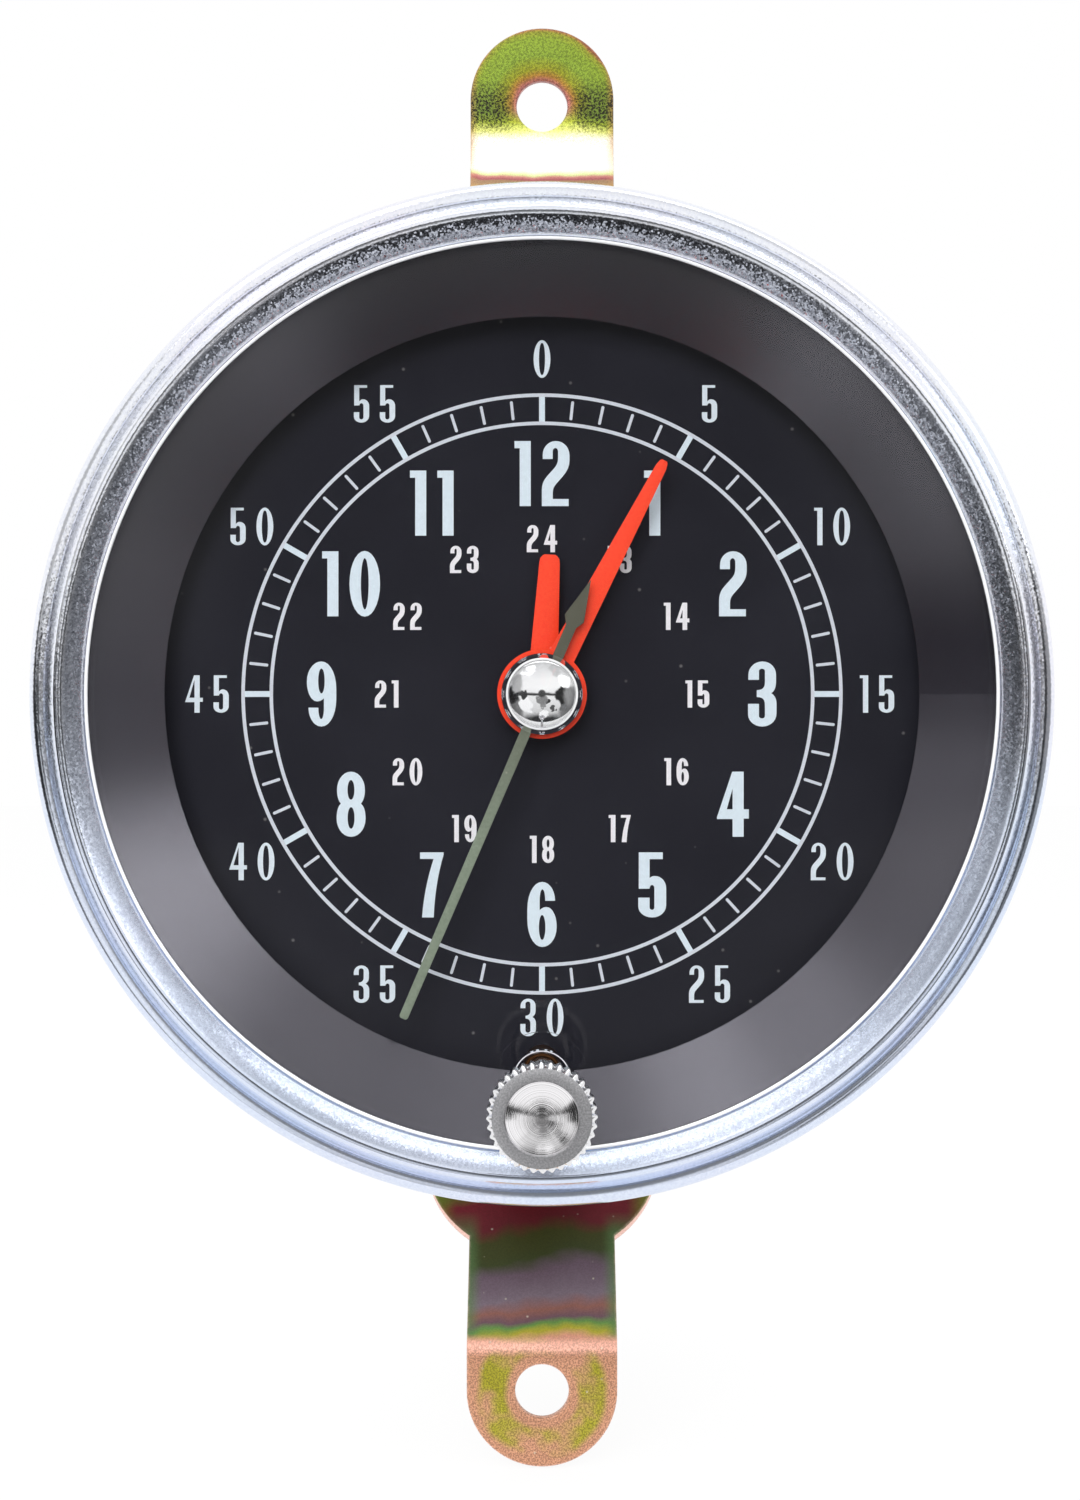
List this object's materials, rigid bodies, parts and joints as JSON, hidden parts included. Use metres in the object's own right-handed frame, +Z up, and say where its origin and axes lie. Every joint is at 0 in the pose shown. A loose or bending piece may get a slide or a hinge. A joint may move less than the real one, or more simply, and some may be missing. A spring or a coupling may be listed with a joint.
{
  "type": "dashboard clock",
  "caption": "Round dashboard clock with a plated bezel, a black dial with hour, minute and second hands, a setting knob through the lens and screw brackets on a drawn steel can.",
  "frame": {"origin": "centre of the hand axis in the plane of the bezel's rear edge, where the bezel meets the instrument panel", "axes": "+Z up through the 12 mark and the upper bracket, +X to the right of the dial as it is read, +Y back into the dashboard, so the dial faces -Y"},
  "size_m": [0.1016, 0.077, 0.1527],
  "materials": {
    "bezel_zinc": "bright zinc plate",
    "lens_clear": "clear polished",
    "gasket_rubber": "matte",
    "shroud_black": "satin",
    "dial_black": "matte",
    "hand_red": "semi-gloss",
    "hand_olive": "satin",
    "cap_chrome": "mirror",
    "knob_nickel": "turned nickel",
    "stem_steel": "turned",
    "bush_brass": "turned",
    "gear_brass": "cut brass",
    "plate_brass": "satin",
    "turned_steel": "turned",
    "magnet_dark": "sintered",
    "stator_iron": "laminated",
    "coil_copper": "enamelled wire",
    "board_green": "solder mask",
    "crystal_steel": "drawn can",
    "chip_black": "moulded",
    "capacitor_sleeve": "sleeve",
    "can_zinc": "zinc plate",
    "screw_zinc": "zinc plate",
    "bracket_chromate": "yellow chromate on zinc",
    "blade_brass": "tinned brass",
    "insulator_nylon": "natural"
  },
  "bodies": {
    "case": {"bezel_ring": "bezel_zinc", "lens": "lens_clear", "lens_gasket": "gasket_rubber", "dial_shroud": "shroud_black", "dial_plate": "dial_black", "stem_bush": "bush_brass", "front_plate": "plate_brass", "back_plate": "plate_brass", "minute_post": "turned_steel", "setting_post": "turned_steel", "plate_pillars": "turned_steel", "plate_screws": "turned_steel", "board_spacers": "turned_steel", "case_posts": "turned_steel", "dial_posts": "turned_steel", "stator_posts": "turned_steel", "motor_stator": "stator_iron", "motor_coil": "coil_copper", "circuit_board": "board_green", "quartz_crystal": "crystal_steel", "timing_chip": "chip_black", "filter_capacitor": "capacitor_sleeve", "case_can": "can_zinc", "case_screws": "screw_zinc", "bracket_rivets": "screw_zinc", "top_bracket": "bracket_chromate", "bottom_bracket": "bracket_chromate", "power_terminal": "blade_brass", "terminal_insulator": "insulator_nylon"},
    "knob": {"set_stem": "stem_steel", "set_knob": "knob_nickel", "stem_clip": "stem_steel"},
    "minute": {"minute_hand": "hand_red", "cannon_pinion": "gear_brass"},
    "hour": {"hour_hand": "hand_red", "hour_wheel": "gear_brass"},
    "minute_wheel_body": {"minute_wheel": "gear_brass"},
    "setting_wheel_body": {"setting_wheel": "gear_brass"},
    "second": {"second_hand": "hand_olive", "centre_cap": "cap_chrome", "second_wheel": "gear_brass"},
    "third": {"third_wheel": "gear_brass"},
    "centre": {"centre_wheel": "gear_brass"},
    "intermediate": {"intermediate_wheel": "gear_brass"},
    "rotor": {"motor_rotor": "magnet_dark"}
  },
  "joints": [
    {"name": "knob_turn", "type": "hinge", "parent": "case", "child": "knob", "pos_m": [0, 0, -0.038], "axis": [0, 1, 0], "continuous": true},
    {"name": "minute_turn", "type": "hinge", "parent": "case", "child": "minute", "pos_m": [0, 0, 0], "axis": [0, 1, 0], "continuous": true},
    {"name": "hour_turn", "type": "hinge", "parent": "case", "child": "hour", "pos_m": [0, 0, 0], "axis": [0, 1, 0], "continuous": true},
    {"name": "minute_wheel_turn", "type": "hinge", "parent": "case", "child": "minute_wheel_body", "pos_m": [0, 0, 0.012], "axis": [0, 1, 0], "continuous": true},
    {"name": "setting_wheel_turn", "type": "hinge", "parent": "case", "child": "setting_wheel_body", "pos_m": [0, 0, -0.019], "axis": [0, 1, 0], "continuous": true},
    {"name": "second_turn", "type": "hinge", "parent": "case", "child": "second", "pos_m": [0, 0, 0], "axis": [0, 1, 0], "continuous": true},
    {"name": "third_turn", "type": "hinge", "parent": "case", "child": "third", "pos_m": [-0.01275, 0, 0], "axis": [0, 1, 0], "continuous": true},
    {"name": "centre_turn", "type": "hinge", "parent": "case", "child": "centre", "pos_m": [0, 0, 0], "axis": [0, 1, 0], "continuous": true},
    {"name": "intermediate_turn", "type": "hinge", "parent": "case", "child": "intermediate", "pos_m": [0.0129, 0, 0], "axis": [0, 1, 0], "continuous": true},
    {"name": "rotor_turn", "type": "hinge", "parent": "case", "child": "rotor", "pos_m": [0.01499, 0, 0.01029], "axis": [0, 1, 0], "continuous": true}
  ],
  "couplings": [
    {"joint": "minute_turn", "follows": "knob_turn", "ratio": 1},
    {"joint": "hour_turn", "follows": "knob_turn", "ratio": 0.083333},
    {"joint": "minute_wheel_turn", "follows": "knob_turn", "ratio": -0.33333},
    {"joint": "setting_wheel_turn", "follows": "knob_turn", "ratio": -0.1875},
    {"joint": "third_turn", "follows": "second_turn", "ratio": -0.13333},
    {"joint": "centre_turn", "follows": "second_turn", "ratio": 0.016667},
    {"joint": "intermediate_turn", "follows": "second_turn", "ratio": -5},
    {"joint": "rotor_turn", "follows": "second_turn", "ratio": 30}
  ]
}
